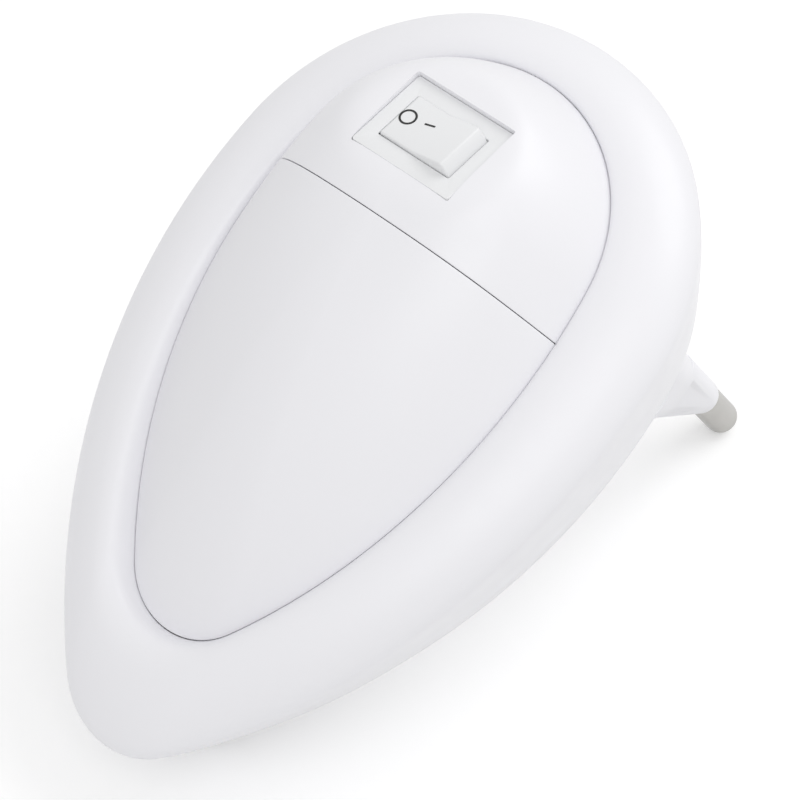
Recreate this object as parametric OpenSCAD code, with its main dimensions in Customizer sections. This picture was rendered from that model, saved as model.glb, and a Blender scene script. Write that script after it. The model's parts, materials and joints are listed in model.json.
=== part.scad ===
// Plug-in night light: a teardrop face on a two-pin wall plug, with a rocker switch above a white lens.
// Millimetres. The origin is the middle of the plug's engagement face, +Z is up, the face looks along -Y
// and the pins point along +Y, into the wall.

/* [Body outline] */
// Radius of the round upper end
body_top_r = 29; // [26:0.5:32]
// Radius of the pointed lower end
body_bottom_r = 10.2; // [8:0.2:13]
// Distance between the centres of the two end circles
body_drop = 51; // [45:0.5:58]
// Radius of the long side curves
body_side_r = 78; // [70:1:90]
// Height of the body's top edge above the plug axis
body_top_z = 20.4; // [17:0.2:24]

/* [Front frame] */
// Distance from the crest of the frame back to the engagement face
face_depth = 50.5; // [48:0.5:58]
// Width of the band at the top
band_top = 6.4; // [5:0.2:8]
// Width of the band at the sides
band_side = 9.1; // [7.5:0.2:10.5]
// Width of the band at the lower end
band_bottom = 12.4; // [10:0.2:14]
// Radius of the lower end of the opening
opening_bottom_r = 10.4; // [9:0.2:12]
// Radius of the opening's side curves
opening_side_r = 67; // [60:1:80]
// Depth from the crest to the widest line of the body
bead_depth = 5.6; // [4:0.2:7]
// Depth from the widest line to the rear edge of the frame
wall_depth = 17.6; // [15:0.2:20]
// How far the rear edge is tucked in from the widest line
wall_tuck = 5.9; // [4:0.1:7]
// How far the two ends of the face are set back from its middle
face_crown = 3; // [1:0.2:4]
// Wall thickness of the mouldings
wall = 2; // [1.6:0.1:2.4]

/* [Cap and lens] */
// Height of the dome above its edge
dome_rise = 12.7; // [11:0.1:14]
// Fullness of the dome toward the top and toward the bottom: higher is flatter
dome_power = [4.6, 1.9];
// Height of the dome's peak above the plug axis
dome_peak_z = -4; // [-6:0.5:0]
// Height of the seam between cap and lens
seam_z = -8.9; // [-12:0.1:-7.5]
// Width of the seam
seam_gap = 0.3; // [0.2:0.05:0.5]
// Thickness of the cap and the lens
dome_wall = 1.8; // [1.5:0.1:2.2]
// Gap between the dome's edge and the frame's lip, at the top and at the bottom
dome_gap = [0.1, 0.35];
// Depth of the bezel's face below the flat of the cap, at its lower and at its upper edge
bezel_sink = [0.25, 0.7];
// How far the lip lies inside the crest, at the top and at the bottom
lip_run = [0.5, 1.4];
// How far the lip lies below the crest, at the top and at the bottom
lip_sink = [0.7, 3.5];

/* [Switch] */
// Height of the middle of the switch above the plug axis
switch_z = 1; // [-1:0.1:2]
// Height of the switch face in front of the crest
switch_rise = 9; // [8:0.1:10]
// Backward tilt of the switch face, degrees
switch_tilt = 21; // [15:0.5:25]
// Length and width of the bezel
bezel = [13.5, 10.3];
// Thickness of the bezel
bezel_t = 1.2; // [1:0.1:1.6]
// Length and width of the housing below the bezel
housing = [12, 8.6];
// Depth of the housing below the bezel's face
housing_depth = 12; // [11.5:0.1:14]
// Length and width of the well in the housing
well = [10.6, 6.1];
// Width of the rocker
rocker_w = 5.9; // [5.4:0.1:6]
// Swing of the rocker from one end to the other, degrees
rocker_swing = 14; // [12:0.5:18]
// Diameter of the rocker's pivot studs
stud_d = 1.8; // [1.4:0.1:2]

/* [Plug] */
// Diameter of the contact pins
pin_d = 4; // [3.9:0.05:4.8]
// Length of the pins beyond the engagement face
pin_len = 19; // [19:0.5:21]
// Distance between the pins at the engagement face
pin_pitch = 18.6; // [18:0.1:19]
// Distance between the pins at their tips
pin_tip_pitch = 17.5; // [17:0.1:18]
// Length of the insulating sleeves
sleeve_len = 9.5; // [9:0.5:11]
// Diameter of the insulating sleeves
sleeve_d = 3.5; // [3.4:0.05:3.6]
// Length of the tapered root round each sleeve
root_len = 9.4; // [8:0.1:9.4]
// Radius of the root's end
root_r = 2.2; // [2.15:0.05:2.5]
// How far the root's foot reaches down from the pin
root_drop = 3.9; // [3:0.1:4.2]
// Half width, half height, corner radius and middle height of the plug neck's end
neck_end = [11.7, 4.3, 2.9, -2.1];
// Half width, half height, corner radius and middle height of the plug neck's root
neck_root = [13.4, 6.5, 4.2, -4];
// Half width, corner radius and middle height of the insert that carries the pins
insert = [12, 2.4, 0];
// Distance from the neck's root to the engagement face
neck_len = 10; // [8:0.5:12]

/* [Light board] */
// Width and height of the circuit board
board = [20, 30];
// Thickness of the circuit board
board_t = 1.6; // [1:0.1:2]
// Height of the middle of the board
board_z = -32; // [-34:0.5:-30]
// Distance from the engagement face to the board's rear face
board_depth = 39; // [37:0.5:40]
// Diameter of the light-emitting diodes
led_d = 5; // [3:0.5:5]
// Spacing of the light-emitting diodes across and down
led_pitch = [13, 12];

/* [Fasteners and wires] */
// Thread diameter of the cover screws
screw_d = 3; // [2.5:0.1:3.2]
// Head diameter of the cover screws
screw_head_d = 5.6; // [5:0.1:6]
// Thread diameter of the small screws
small_screw_d = 2.2; // [2:0.1:2.4]
// Diameter of the insulated wires
wire_d = 1.5; // [1.2:0.1:1.8]

/* [Hidden] */

$fn = 48;
eps = 0.01;
// Small clearance between pieces that only touch
seat = 0.1;
// Steps along the round end, one side and the pointed end of an outline, for half of it
steps = [9, 9, 6];

// ---- outlines, all with the same number of points, from the top centre towards +X ----
function arc(cx, cz, r, a0, a1, n) =
  [for (i = [0 : n - 1]) let (a = a0 + (a1 - a0) * i / n) [cx + r * sin(a), cz + r * cos(a)]];

function egg(top_z, r1, r2, drop, rs) =
  let (
    cz = top_z - r1,
    a = rs - r1,
    b = rs - r2,
    zr = (b * b - a * a - drop * drop) / (2 * drop),
    c = sqrt(a * a - zr * zr),
    a1 = atan2(c, -zr),
    a2 = atan2(c, -drop - zr),
    half = concat(
      arc(0, cz, r1, 0, a1, steps[0]),
      arc(-c, cz + zr, rs, a1, a2, steps[1]),
      arc(0, cz - drop, r2, a2, 180, steps[2])),
    n = len(half)
  )
  concat(half, [[0, cz - drop - r2]], [for (i = [n - 1 : -1 : 1]) [-half[i][0], half[i][1]]]);

// Centre of the side curve on the right, from the same figures as the outline
side_rise = (pow(body_side_r - body_bottom_r, 2) - pow(body_side_r - body_top_r, 2) - pow(body_drop, 2))
  / (2 * body_drop);
top_centre = [0, body_top_z - body_top_r];
side_centre = [-sqrt(pow(body_side_r - body_top_r, 2) - pow(side_rise, 2)), top_centre[1] + side_rise];

function body_egg(inset) =
  egg(body_top_z - inset, body_top_r - inset, body_bottom_r - inset, body_drop, body_side_r - inset);

opening_top_r = body_top_r - band_side;
opening_top_z = body_top_z - band_top;
body_bottom_z = body_top_z - body_top_r - body_drop - body_bottom_r;
opening_bottom_z = body_bottom_z + band_bottom;
opening_drop = opening_top_z - opening_bottom_z - opening_top_r - opening_bottom_r;

// An outline inside the crest by one distance at the top and another at the bottom
function opening_egg(top, bottom) =
  egg(opening_top_z - top, opening_top_r - top, opening_bottom_r - bottom,
    opening_drop, opening_side_r - (top + bottom) / 2);

function mix(a, b, k) = a + (b - a) * k;
function blend(p, q, k) = [for (i = [0 : len(p) - 1]) mix(p[i], q[i], k)];

// A rounded rectangle [half width, half height, corner radius, middle height] with as many points as
// the outlines, evenly spaced from the top centre towards +X
function box_point(w, h, r, z, s) =
  let (a = w - r, q = PI * r / 2, b = 2 * (h - r), t = 90 / q)
  s < a ? [s, z + h] :
  s < a + q ? [a + r * sin((s - a) * t), z + h - r + r * cos((s - a) * t)] :
  s < a + q + b ? [w, z + h - r - (s - a - q)] :
  s < a + 2 * q + b ? [a + r * cos((s - a - q - b) * t), z - h + r - r * sin((s - a - q - b) * t)] :
  [2 * a + 2 * q + b - s, z - h];

function box_outline(f, inset = 0) =
  let (
    m = steps[0] + steps[1] + steps[2],
    w = f[0] - inset,
    h = f[1] - inset,
    r = max(f[2] - inset, 0.5),
    total = 2 * (w - r) + PI * r + 2 * (h - r),
    half = [for (i = [0 : m]) box_point(w, h, r, f[3], total * i / m)]
  )
  concat(half, [for (i = [m - 1 : -1 : 1]) [-half[i][0], half[i][1]]]);

// ---- skins: closed surfaces through rings that run front to back outside and back to front inside ----
module skin(rings, first = undef, last = undef) {
  n = len(rings[0]);
  m = len(rings);
  loop = is_undef(first);
  points = concat([for (r = rings) each r], loop ? [] : [first, last]);
  sides = [
    for (j = [0 : loop ? m - 1 : m - 2]) for (i = [0 : n - 1])
      let (a = j * n + i, b = j * n + (i + 1) % n, d = ((j + 1) % m) * n + i,
        c = ((j + 1) % m) * n + (i + 1) % n)
      each [[a, d, c], [a, c, b]]];
  ends = loop ? [] : [
    for (i = [0 : n - 1]) let (k = (i + 1) % n, e = (m - 1) * n)
      each [[m * n, i, k], [e + i, m * n + 1, e + k]]];
  polyhedron(points = points, faces = concat(sides, ends), convexity = 6);
}

body_mid_z = (body_top_z + body_bottom_z) / 2;
body_half_h = (body_top_z - body_bottom_z) / 2;

// Depth of the crest at a height, and share of the way down the face
function crest_y(z) = -face_depth + face_crown * pow((z - body_mid_z) / body_half_h, 2);
function down(z) = max(0, min(1, (opening_top_z - z) / (opening_top_z - opening_bottom_z)));
// The lip stays near the crest along the sides and drops toward the pointed end
sink_power = 2.5;
function lip_y(z) = crest_y(z) + mix(lip_sink[0], lip_sink[1], pow(down(z), sink_power));

function at_crest(outline, depth) = [for (p = outline) [p[0], crest_y(p[1]) + depth, p[1]]];
function at_lip(outline, depth) = [for (p = outline) [p[0], lip_y(p[1]) + depth, p[1]]];
function at_y(outline, y) = [for (p = outline) [p[0], y, p[1]]];

// ---- front frame ----
frame_rear_y = -face_depth + bead_depth + wall_depth;
lip_t = 1.3;
flange_t = 1.6;
flange_out = 2.2;
flange_room = flange_out + 0.3;
bead_steps = [15, 30, 45, 60, 75];
tuck_steps = [0, 0.35, 0.7];
tuck_power = 1.1;
function tucked(k) = body_egg(wall_tuck * pow(k, tuck_power));
function tucked_inside(k) = body_egg(wall_tuck * pow(k, tuck_power) + wall);

module frame_shell() {
  crest = opening_egg(0, 0);
  widest = body_egg(0);
  lip = opening_egg(lip_run[0], lip_run[1]);
  skin(concat(
    [at_crest(crest, 0)],
    [for (a = bead_steps) at_crest(blend(crest, widest, sin(a)), bead_depth * (1 - cos(a)))],
    [for (k = tuck_steps) at_crest(tucked(k), bead_depth + wall_depth * k)],
    [at_y(body_egg(wall_tuck), frame_rear_y),
      at_y(body_egg(wall_tuck + wall), frame_rear_y)],
    [for (k = [0.7, 0.35]) at_crest(tucked_inside(k), bead_depth + wall_depth * k)],
    [at_crest(body_egg(wall), bead_depth + wall * 0.3),
      at_crest(blend(crest, widest, 0.55), bead_depth * 0.25 + wall),
      at_lip(opening_egg(lip_run[0] - flange_room, lip_run[1] - flange_room), lip_t),
      at_lip(lip, lip_t),
      at_lip(lip, 0)]));
}

// Screw bosses and plain posts: places across the face. Their front ends hold the cap and the lens
// against the lip
boss_d = 6.4;
cover_screw_at = [[-15.6, -22], [15.6, -22], [0, -52.4]];
cap_rib_at = [[-12, 7], [12, 7]];
boss_rear_y = frame_rear_y - 2.6;
rib_t = 2;

module along_y(x, z, y0, y1, d) {
  translate([x, y0, z]) rotate([-90, 0, 0]) cylinder(h = y1 - y0, d = d);
}

// The centre of curvature of the wall nearest to a place: ribs run straight away from it
function mirrored(p, side) = [side * p[0], p[1]];
function wall_centre(place) = abs(place[0]) < 1 ? [0, place[1] + 10] :
  place[1] > top_centre[1] ? top_centre : mirrored(side_centre, sign(place[0]));
function boss_front_y(place) =
  max(lip_y(place[1] - boss_d / 2), lip_y(place[1] + boss_d / 2)) + lip_t + 2 * seat + flange_t;
rib_reach = 18;

module frame_boss(place, grow = 0)
  along_y(place[0], place[1], boss_front_y(place), boss_rear_y + grow, boss_d + 2 * grow);

module frame_rib(place, grow = 0) {
  out = place - wall_centre(place);
  front_y = boss_front_y(place) + 1;
  translate([place[0], 0, place[1]]) rotate([0, -atan2(out[1], out[0]), 0])
    translate([0, front_y, -rib_t / 2 - grow])
      cube([rib_reach, boss_rear_y - 0.4 + grow - front_y, rib_t + 2 * grow]);
}

// The space inside the middle of the wall, where the ribs end
module frame_core() {
  mid = [for (k = [0, 0.35, 0.7]) at_crest(body_egg(wall_tuck * pow(k, tuck_power) + wall / 2),
    bead_depth + wall_depth * k)];
  skin(concat([at_crest(body_egg(band_side), bead_depth + 1)], mid,
      [at_y(body_egg(wall_tuck + wall / 2), frame_rear_y)]),
    [0, crest_y(body_mid_z) + bead_depth + 1, body_mid_z], [0, frame_rear_y, body_mid_z]);
}

module front_frame() color("whitesmoke") {
  difference() {
    union() {
      frame_shell();
      for (p = concat(cover_screw_at, cap_rib_at)) frame_boss(p);
      intersection() {
        frame_core();
        for (p = concat(cover_screw_at, cap_rib_at)) frame_rib(p);
      }
    }
    for (p = cover_screw_at) along_y(p[0], p[1], screw_tip_y - 1, boss_rear_y + eps, screw_d);
  }
}

// ---- cap and lens: one domed shell cut by the seam ----
dome_run = lip_run + dome_gap;
dome_rings = [0.2, 0.38, 0.54, 0.68, 0.8, 0.89, 0.95, 1];

function toward_peak(outline, r) = [for (p = outline) [p[0] * r, dome_peak_z + (p[1] - dome_peak_z) * r]];
function fullness(p) =
  let (up = (p[1] - dome_peak_z) / norm([p[0], p[1] - dome_peak_z]))
  mix(dome_power[0], dome_power[1], (1 - up) / 2);
// Flat of the cap round the switch, blended into the dome
flat_blend = 1;
flat_lean = atan2(bezel_sink[1] - bezel_sink[0], bezel[1]);
function flat_y(z) =
  switch_y - (bezel_sink[0] + bezel_sink[1]) / 2 + (z - switch_z) * tan(switch_tilt - flat_lean);
function soft_max(a, b, k) = max(a, b) + pow(max(k - abs(a - b), 0), 2) / (4 * k);
function dome_y(p, r) =
  soft_max(lip_y(p[1]) - dome_rise * (1 - pow(r, fullness(p))), flat_y(p[1]), flat_blend);
function dome_ring(outline, r, depth) =
  [for (p = toward_peak(outline, r)) [p[0], dome_y(p, r) + depth, p[1]]];
function dome_tip(depth) = [0, dome_y([0, dome_peak_z + eps], 0) + depth, dome_peak_z];

module dome_shell() {
  edge = opening_egg(dome_run[0], dome_run[1]);
  inner = opening_egg(dome_run[0] + dome_wall, dome_run[1] + dome_wall);
  flange = opening_egg(lip_run[0] - flange_out, lip_run[1] - flange_out);
  skin(concat(
      [for (r = dome_rings) dome_ring(edge, r, 0)],
      [at_lip(edge, lip_t + seat),
        at_lip(flange, lip_t + seat),
        at_lip(flange, lip_t + seat + flange_t),
        at_lip(inner, lip_t + seat + flange_t)],
      [for (i = [len(dome_rings) - 1 : -1 : 0]) dome_ring(inner, dome_rings[i], dome_wall)]),
    dome_tip(0), dome_tip(dome_wall));
}

module dome_solid() {
  edge = opening_egg(dome_run[0], dome_run[1]);
  skin(concat([for (r = dome_rings) dome_ring(edge, r, 0)], [at_lip(edge, lip_t)]),
    dome_tip(0), [0, lip_y(dome_peak_z) + lip_t, dome_peak_z]);
}

module half_space(z0, z1) translate([-50, -100, z0]) cube([100, 100, z1 - z0]);

pocket = [bezel[0] + 0.1, bezel[1] + 0.1];
pocket_floor = 1.4;
snap_z = -bezel_t - pocket_floor - 0.15;
pocket_wall = 1.5;
cutout = [housing[0] + 0.2, housing[1] + 0.2];

module upper_cap() color("whitesmoke") {
  difference() {
    union() {
      intersection() {
        dome_shell();
        half_space(seam_z + seam_gap / 2, body_top_z);
      }
      intersection() {
        dome_solid();
        in_switch() block(pocket + 2 * [pocket_wall, pocket_wall], -bezel_t - pocket_floor, 8);
      }
    }
    in_switch() {
      block(pocket, -bezel_t, 20);
      block(cutout, -20, 1);
    }
  }
}

module lens() color("ghostwhite") {
  intersection() {
    dome_shell();
    half_space(body_bottom_z, seam_z - seam_gap / 2);
  }
}

// ---- rear cover ----
neck_root_y = -neck_len;
round_steps = [0, 0.25, 0.5, 0.75, 0.92];
back_power = 1.3;
tongue = 2.4;
rim = wall + seat;
neck_chamfer = 0.4;
insert_front_y = -13;
insert_rear_y = -20.4;
insert_flange_t = 1.8;
insert_foot_y = insert_rear_y + insert_flange_t;

function cover_outline(k, inset) =
  blend(body_egg(wall_tuck + inset), box_outline(neck_root, inset), k);
function cover_ring(a, inset, back) =
  at_y(cover_outline(1 - pow(1 - a, back_power), inset), mix(frame_rear_y, neck_root_y, a) - back * a);
function neck_outline(k, inset) = box_outline(mix(neck_root, neck_end, k), inset);
neck_floor_y = insert_front_y + seat;
// Hollow in the neck below the pins
neck_core = [9.5, 1.9, -5];
neck_core_y = -2.4;

module cover_shell() {
  skin(concat(
      [for (i = [len(round_steps) - 1 : -1 : 0])
        cover_ring(round_steps[i], wall + rim * (1 - round_steps[i]), wall)],
      [at_y(body_egg(wall_tuck + rim + wall), frame_rear_y - tongue),
        at_y(body_egg(wall_tuck + rim), frame_rear_y - tongue),
        at_y(body_egg(wall_tuck + rim), frame_rear_y),
        at_y(body_egg(wall_tuck), frame_rear_y)],
      [for (i = [1 : len(round_steps) - 1]) cover_ring(round_steps[i], 0, 0)],
      [at_y(neck_outline(0.04, 0), neck_root_y * 0.93),
        at_y(neck_outline(0.2, 0), neck_root_y * 0.8),
        at_y(neck_outline(1, 0), -neck_chamfer),
        at_y(neck_outline(1, neck_chamfer), 0)]),
    [0, mix(frame_rear_y, neck_root_y, round_steps[len(round_steps) - 1]) - wall, neck_root[3]],
    [0, 0, neck_end[3]]);
}

// Tapered root under one sleeve
module pin_root(side) at_pin(side) hull() {
  for (y = [0, root_drop]) translate([0, y, -neck_chamfer - 1]) cylinder(h = 1, r = root_r, $fn = 32);
  translate([0, 0, root_len - 0.3]) cylinder(h = 0.3, r1 = root_r, r2 = root_r - 0.15, $fn = 32);
}

// The space inside the cover's outer surface, where its posts end
module cover_solid() {
  skin(concat(
      [for (a = round_steps) cover_ring(a, 0.4, 0.4)],
      [at_y(neck_outline(0.04, 0.4), neck_root_y * 0.95)]),
    [0, frame_rear_y, neck_root[3]], [0, neck_root_y * 0.95, neck_root[3]]);
}

post_d = 8.8;
head_seat_y = boss_rear_y + seat + 1.9;
screw_len = 12;
screw_tip_y = head_seat_y - screw_len;
board_screw_at = [[-7.5, -20.5], [7.5, -20.5], [0, -44]];
board_rear_y = -board_depth;
board_post_d = 5.4;
insert_screw_at = [[-5.5, -13.5], [5.5, -13.5]];
insert_post_d = 6;

module cover_post(place, y, d) intersection() {
  along_y(place[0], place[1], y, 0, d);
  cover_solid();
}

module rear_cover() color("whitesmoke") {
  difference() {
    union() {
      difference() {
        union() {
          cover_shell();
          for (s = [-1, 1]) pin_root(s);
        }
        for (p = concat(cover_screw_at, cap_rib_at)) {
          frame_boss(p, 0.3);
          frame_rib(p, 0.3);
        }
      }
      for (p = cover_screw_at) {
        along_y(p[0], p[1], boss_rear_y + seat, frame_rear_y + 1, post_d);
        cover_post(p, frame_rear_y, post_d);
      }
      for (p = insert_screw_at) cover_post(p, insert_foot_y + seat, insert_post_d);
      for (p = board_screw_at) {
        cover_post(p, frame_rear_y, board_post_d);
        along_y(p[0], p[1], board_rear_y, frame_rear_y + 2, board_post_d);
      }
    }
    for (p = cover_screw_at) {
      along_y(p[0], p[1], head_seat_y, 1, screw_head_d + 0.6);
      along_y(p[0], p[1], boss_rear_y - 1, head_seat_y + eps, screw_d + 0.4);
    }
    for (p = board_screw_at)
      along_y(p[0], p[1], board_rear_y - eps, board_rear_y + board_screw_len + 1, small_screw_d);
    for (p = insert_screw_at) along_y(p[0], p[1], insert_foot_y, insert_foot_y + 3.4, small_screw_d);
    bar_prism(insert[0] + seat, insert[1] + seat, insert[2], insert_rear_y - collar_t - 1, neck_floor_y);
    bar_prism(neck_core[0], neck_core[1], neck_core[2], insert_rear_y - 1, neck_core_y);
    for (s = [-1, 1]) at_pin(s) translate([0, 0, insert_front_y - 1])
      cylinder(h = root_len + 2 - insert_front_y, d = sleeve_d + 0.1);
  }
}

// ---- plug insert: carries both pins and their sleeves ----
module bar_prism(w, r, z, y0, y1) {
  translate([0, y0, z]) {
    translate([r - w, 0, -r]) cube([2 * (w - r), y1 - y0, 2 * r]);
    for (s = [-1, 1]) translate([s * (w - r), 0, 0]) rotate([-90, 0, 0]) cylinder(h = y1 - y0, r = r);
  }
}

pin_lean = atan2((pin_pitch - pin_tip_pitch) / 2, pin_len);
thread_gap = 0.04;
core_d = 2.8;
collar_d = 3.4;
collar_t = 1.5;

// Local frame of one pin: Z along the pin from the engagement face outwards
module at_pin(side) translate([side * pin_pitch / 2, 0, 0]) rotate([-90, 0, side * pin_lean]) children();
function on_pin(side, y) = [side * (pin_pitch / 2 - y * tan(pin_lean)), y, 0];

insert_flange_w = 18;
insert_flange_z = insert_screw_at[0][1] - insert_post_d / 2 - 0.5;

module plug_insert() color("whitesmoke") {
  difference() {
    union() {
      bar_prism(insert[0], insert[1], insert[2], insert_rear_y, insert_front_y);
      translate([-insert_flange_w / 2, insert_rear_y, insert_flange_z])
        cube([insert_flange_w, insert_flange_t, -insert_flange_z]);
      for (s = [-1, 1]) at_pin(s) translate([0, 0, insert_front_y - 1])
        cylinder(h = sleeve_len + 1 - insert_front_y, d = sleeve_d);
    }
    for (s = [-1, 1]) at_pin(s) translate([0, 0, insert_rear_y - 5])
      cylinder(h = sleeve_len + 6 - insert_rear_y, d = core_d + 2 * thread_gap);
    for (p = insert_screw_at)
      along_y(p[0], p[1], insert_rear_y - 1, insert_foot_y + 1, small_screw_d + 0.3);
  }
}

// ---- pins ----
pin_tip_r = 1.6;
pin_tail = 6.6;
pin_end = insert_rear_y - pin_tail;
cup_depth = 2.4;
tip_start = sleeve_len + 0.05;

module pin(side) at_pin(side) rotate_extrude() {
  difference() {
    union() {
      translate([0, pin_end]) square([core_d / 2, tip_start - pin_end + 1]);
      translate([0, insert_rear_y - seat - collar_t]) square([collar_d / 2, collar_t]);
      translate([0, tip_start]) square([pin_d / 2, pin_len - tip_start - pin_tip_r]);
      translate([0, pin_len - pin_tip_r - eps]) square([pin_d / 2 - pin_tip_r, pin_tip_r + eps]);
      translate([pin_d / 2 - pin_tip_r, pin_len - pin_tip_r]) circle(r = pin_tip_r, $fn = 64);
    }
    translate([-10, -50]) square([10, 100]);
    translate([-eps, pin_end - eps]) square([wire_d / 2 + 0.05 + eps, cup_depth]);
  }
}
module pin_left() color("silver") pin(-1);
module pin_right() color("silver") pin(1);

// ---- screws ----
screw_head_h = 2;
small_head = [4, 1.5];
board_screw_len = 7;
insert_screw_len = 4.8;
module screw(d, head_d, head_h, length) {
  rotate([-90, 0, 0]) difference() {
    union() {
      translate([0, 0, -length]) cylinder(h = length, d = d);
      cylinder(h = head_h, d = head_d);
    }
    translate([0, 0, head_h * 0.45]) for (a = [0, 90]) rotate([0, 0, a])
      translate([-head_d * 0.3, -head_d * 0.07, 0]) cube([head_d * 0.6, head_d * 0.14, head_h]);
  }
}
module cover_screws() color("silver")
  for (p = cover_screw_at) translate([p[0], head_seat_y + seat / 2, p[1]])
    screw(screw_d - thread_gap, screw_head_d, screw_head_h, screw_len);
module board_screws() color("silver")
  for (p = board_screw_at) translate([p[0], board_rear_y - board_t - seat / 2, p[1]])
    rotate([0, 0, 180]) screw(small_screw_d - thread_gap, small_head[0], small_head[1], board_screw_len);
module insert_screws() color("silver")
  for (p = insert_screw_at) translate([p[0], insert_rear_y - seat / 2, p[1]])
    rotate([0, 0, 180]) screw(small_screw_d - thread_gap, small_head[0], small_head[1], insert_screw_len);

// ---- switch: local frame with X along the rocker, Y up the face and Z out of it ----
switch_y = -face_depth - switch_rise;
module in_switch() translate([0, switch_y, switch_z]) rotate([90 - switch_tilt, 0, 0]) children();
module block(size, z0, z1) translate([-size[0] / 2, -size[1] / 2, z0]) cube([size[0], size[1], z1 - z0]);
module across(x, z, y0, y1, d) translate([x, y0, z]) rotate([-90, 0, 0]) cylinder(h = y1 - y0, d = d);

pivot_z = -1.8;
rocker_rest = rocker_swing / 2;
floor_t = 1.2;
floor_z = floor_t - housing_depth;
fulcrum_z = floor_z + 1.7;
fulcrum_d = 0.8;
lever_gap = 0.05;
lever_t = 0.5;
lever_w = 3;
lever_half = 4.4;
lever_rest = 6;
contact_x = -3.5;
contact_d = 1.8;
blade = [0.8, 3.6];
blade_len = 6.5;
common_x = 0;
line_x = contact_x;
stop_x = 3.9;
stop_w = 1;
moving_t = 0.35;
lever_under = fulcrum_d / 2 + lever_gap;
// Height of a face of the lever, so far from its fulcrum line, at a distance along the end that is down
function low_z(face, along) = fulcrum_z + face / cos(lever_rest) - along * tan(lever_rest);
snap = [0.5, 4, 2.2];

module switch_housing() color("white") in_switch() {
  difference() {
    union() {
      block(bezel, -bezel_t, 0);
      block(housing, -housing_depth, -bezel_t);
    }
    block(well, floor_z, -mouth_t);
    block([mouth_len, well[1]], -mouth_t - eps, 1);
    across(0, pivot_z, -housing[1], housing[1], stud_d + 0.1);
    translate([common_x, 0, 0]) block(blade + [0.04, 0.04], -20, 0);
    translate([line_x, 0, 0]) block(blade + [0.04, 0.04], -20, 0);
  }
  translate([stop_x, 0, 0])
    block([stop_w, well[1]], floor_z - eps, low_z(lever_under, stop_x + stop_w / 2) - lever_gap);
  for (a = [0, 180]) rotate([0, 0, a]) translate([housing[0] / 2 - eps, snap[1] / 2, 0]) rotate([90, 0, 0])
    linear_extrude(snap[1]) polygon([[0, snap_z], [snap[0] + eps, snap_z], [0, snap_z - snap[2]]]);
}

// Rocker profile about its pivot in the middle of its swing: two facets that meet in a shallow V
rocker_r = 5.1;
mouth_t = 0.35;
mouth_len = 2 * sqrt(pow(rocker_r, 2) - pow(pivot_z + mouth_t, 2)) + 0.12;
facet_h = (0.4 - pivot_z) / cos(rocker_rest);
rocker_under = -1.6;
barrel_d = 3.8;
plunger_tip_z = fulcrum_z + lever_under + lever_t + lever_gap - pivot_z;
barrel_len = -plunger_tip_z - 1.9;
barrel_bore = 2.6;

module rocker_profile() {
  intersection() {
    circle(r = rocker_r, $fn = 96);
    polygon([[-8, rocker_under], [8, rocker_under],
      [8, facet_h + 8 * tan(rocker_rest)], [0, facet_h], [-8, facet_h + 8 * tan(rocker_rest)]]);
  }
}

module on_rocker() in_switch() translate([0, 0, pivot_z]) rotate([0, -rocker_rest, 0]) children();

module rocker() color("white") on_rocker() {
  difference() {
    union() {
      translate([0, rocker_w / 2, 0]) rotate([90, 0, 0]) linear_extrude(rocker_w) rocker_profile();
      across(0, 0, -housing[1] / 2, housing[1] / 2, stud_d);
      translate([0, 0, -barrel_len]) cylinder(h = barrel_len, d = barrel_d);
    }
    translate([0, 0, -barrel_len - 1]) cylinder(h = barrel_len + 1.6, d = barrel_bore);
  }
}

plunger_d = 2.5;
plunger_tip_r = 1;
plunger_len = 3;
stem_d = 1;
module rocker_plunger() color("goldenrod") on_rocker() {
  translate([0, 0, plunger_tip_z + plunger_tip_r]) {
    sphere(r = plunger_tip_r);
    cylinder(h = plunger_len - plunger_tip_r, r = plunger_tip_r);
  }
  translate([0, 0, plunger_tip_z + 1.9]) cylinder(h = plunger_len - 1.9, d = plunger_d);
  translate([0, 0, plunger_tip_z + plunger_len - eps]) cylinder(h = 1.2, d = stem_d);
}

// ---- tubes swept along a list of points ----
function unit(v) = v / norm(v);
function tube_dir(p, i) = unit(p[min(i + 1, len(p) - 1)] - p[max(i - 1, 0)]);
function tube_side(p, i) =
  let (d = tube_dir(p, i), ref = abs(d[0]) < 0.8 ? [1, 0, 0] : [0, 0, 1]) unit(cross(d, ref));
// Carries the side vector along the route so that the tube doesn't twist
function carried(p, i, s) = let (d = tube_dir(p, i)) unit(s - d * (s * d));
function sides_of(p, i = 0, s = undef) =
  i >= len(p) ? [] :
  let (now = i == 0 ? tube_side(p, 0) : carried(p, i, s)) concat([now], sides_of(p, i + 1, now));

module tube(path, d, n = 8) {
  s = sides_of(path);
  m = len(path);
  points = [for (i = [0 : m - 1]) let (u = s[i], v = cross(tube_dir(path, i), u))
    for (k = [0 : n - 1]) path[i] + d / 2 * (u * cos(360 * k / n) + v * sin(360 * k / n))];
  walls = [for (i = [0 : m - 2]) for (k = [0 : n - 1])
    let (a = i * n + k, b = i * n + (k + 1) % n) each [[a, b, b + n], [a, b + n, a + n]]];
  ends = [[for (k = [n - 1 : -1 : 0]) k], [for (k = [0 : n - 1]) (m - 1) * n + k]];
  polyhedron(points = points, faces = concat(walls, ends), convexity = 8);
}

// Smooth curve through hand-placed points
function spline(a, b, c, d, t) = 0.5 * (2 * b + (c - a) * t + (2 * a - 5 * b + 4 * c - d) * t * t
  + (3 * b - a - 3 * c + d) * t * t * t);
function smooth(p, n = 4) = concat(
  [for (i = [0 : len(p) - 2]) for (j = [0 : n - 1])
    spline(p[max(i - 1, 0)], p[i], p[i + 1], p[min(i + 2, len(p) - 1)], j / n)],
  [p[len(p) - 1]]);

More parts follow.
